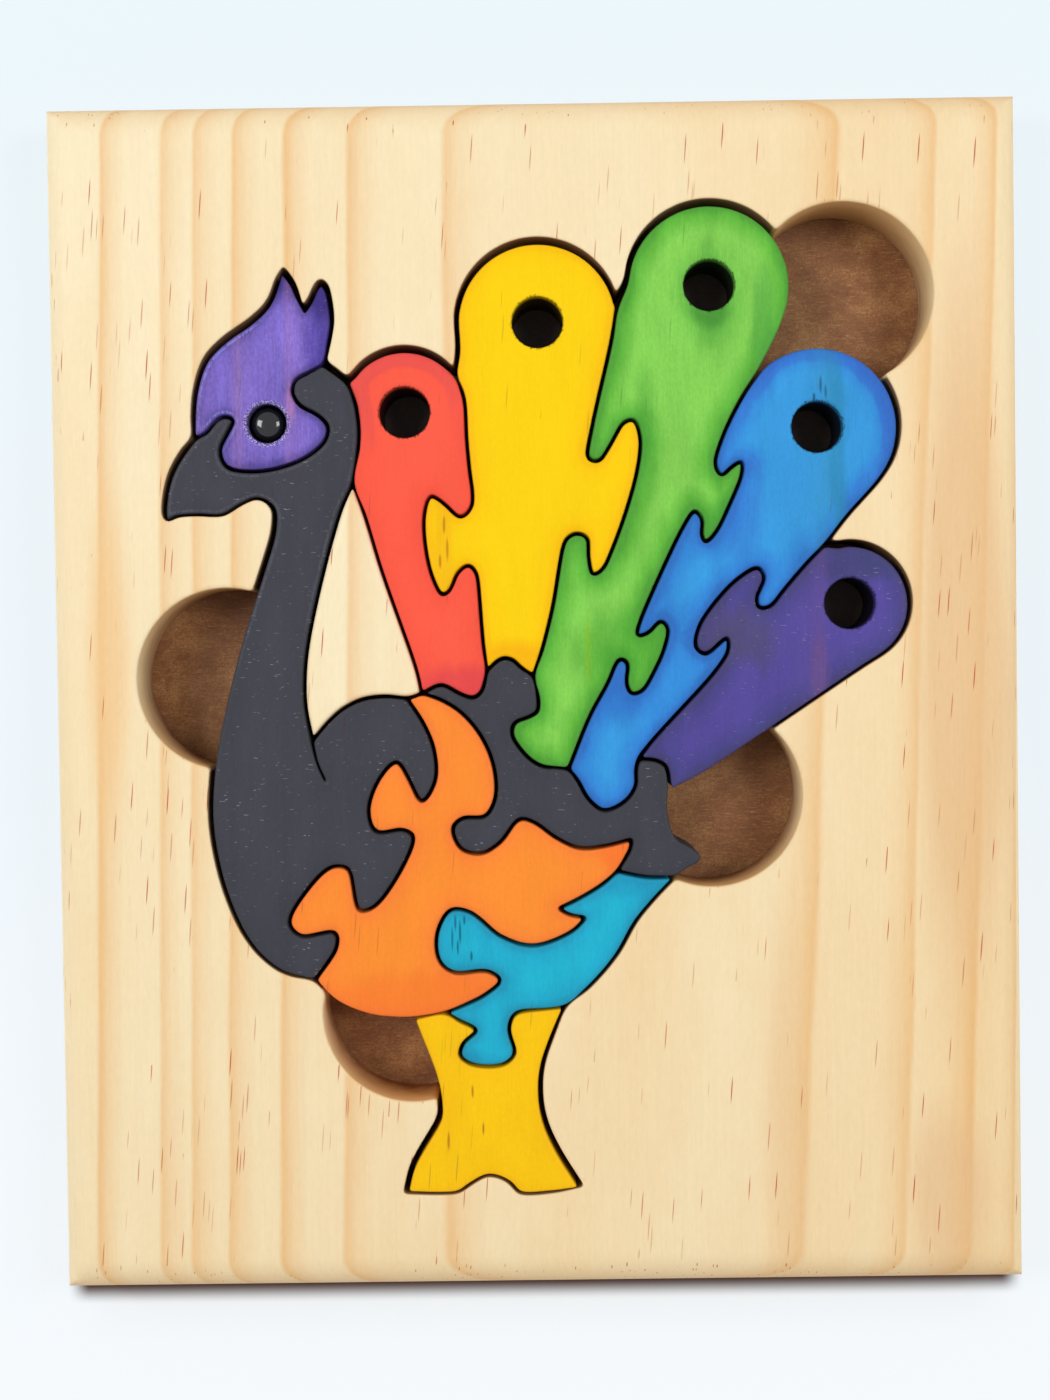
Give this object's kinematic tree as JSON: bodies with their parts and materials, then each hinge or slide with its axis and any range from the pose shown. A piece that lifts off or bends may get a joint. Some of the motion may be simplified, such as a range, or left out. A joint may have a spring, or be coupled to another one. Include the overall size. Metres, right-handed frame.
{
  "type": "jigsaw puzzle",
  "caption": "Wooden tray puzzle: a peacock of interlocking pieces that lift out of a rectangular pine board with bevelled edges, finger notches and a thin backing.",
  "frame": {"origin": "middle of the backing's underside, with the tray lying on its back", "axes": "+X to the picture's right, +Y to the picture's top, +Z out of the picture's face"},
  "size_m": [0.235, 0.288, 0.0225],
  "materials": {
    "pine": "bare planed pine, thin clear coat, dull",
    "hardboard": "brown hardboard, bare",
    "violet": "violet stain that shows the pine's grain, satin",
    "charcoal": "charcoal stain that shows the pine's grain, satin",
    "red": "coral red stain, satin",
    "yellow": "yellow stain, satin",
    "green": "green stain, darker around the hole and at the edges, satin",
    "blue": "blue stain, satin",
    "purple": "dark purple stain, satin",
    "orange": "orange stain, satin",
    "teal": "teal stain, satin",
    "leg_yellow": "deep yellow stain, satin",
    "gloss_black": "glossy black"
  },
  "bodies": {
    "tray": {"frame_board": "pine", "backing_board": "hardboard", "neck_island": "pine"},
    "head": {"piece_head": "violet", "eye": "gloss_black"},
    "neck": {"piece_neck": "charcoal"},
    "red_feather": {"piece_red_feather": "red"},
    "yellow_feather": {"piece_yellow_feather": "yellow"},
    "green_feather": {"piece_green_feather": "green"},
    "blue_feather": {"piece_blue_feather": "blue"},
    "purple_feather": {"piece_purple_feather": "purple"},
    "back": {"piece_back": "charcoal"},
    "wing": {"piece_wing": "orange"},
    "belly": {"piece_belly": "teal"},
    "legs": {"piece_legs": "leg_yellow"}
  },
  "joints": [
    {"name": "head_lift", "type": "slide", "parent": "tray", "child": "head", "axis": [0, 0, 1], "range_m": [0, 0.025]},
    {"name": "neck_lift", "type": "slide", "parent": "tray", "child": "neck", "axis": [0, 0, 1], "range_m": [0, 0.025]},
    {"name": "red_feather_lift", "type": "slide", "parent": "tray", "child": "red_feather", "axis": [0, 0, 1], "range_m": [0, 0.025]},
    {"name": "yellow_feather_lift", "type": "slide", "parent": "tray", "child": "yellow_feather", "axis": [0, 0, 1], "range_m": [0, 0.025]},
    {"name": "green_feather_lift", "type": "slide", "parent": "tray", "child": "green_feather", "axis": [0, 0, 1], "range_m": [0, 0.025]},
    {"name": "blue_feather_lift", "type": "slide", "parent": "tray", "child": "blue_feather", "axis": [0, 0, 1], "range_m": [0, 0.025]},
    {"name": "purple_feather_lift", "type": "slide", "parent": "tray", "child": "purple_feather", "axis": [0, 0, 1], "range_m": [0, 0.025]},
    {"name": "back_lift", "type": "slide", "parent": "tray", "child": "back", "axis": [0, 0, 1], "range_m": [0, 0.025]},
    {"name": "wing_lift", "type": "slide", "parent": "tray", "child": "wing", "axis": [0, 0, 1], "range_m": [0, 0.025]},
    {"name": "belly_lift", "type": "slide", "parent": "tray", "child": "belly", "axis": [0, 0, 1], "range_m": [0, 0.025]},
    {"name": "legs_lift", "type": "slide", "parent": "tray", "child": "legs", "axis": [0, 0, 1], "range_m": [0, 0.025]}
  ]
}
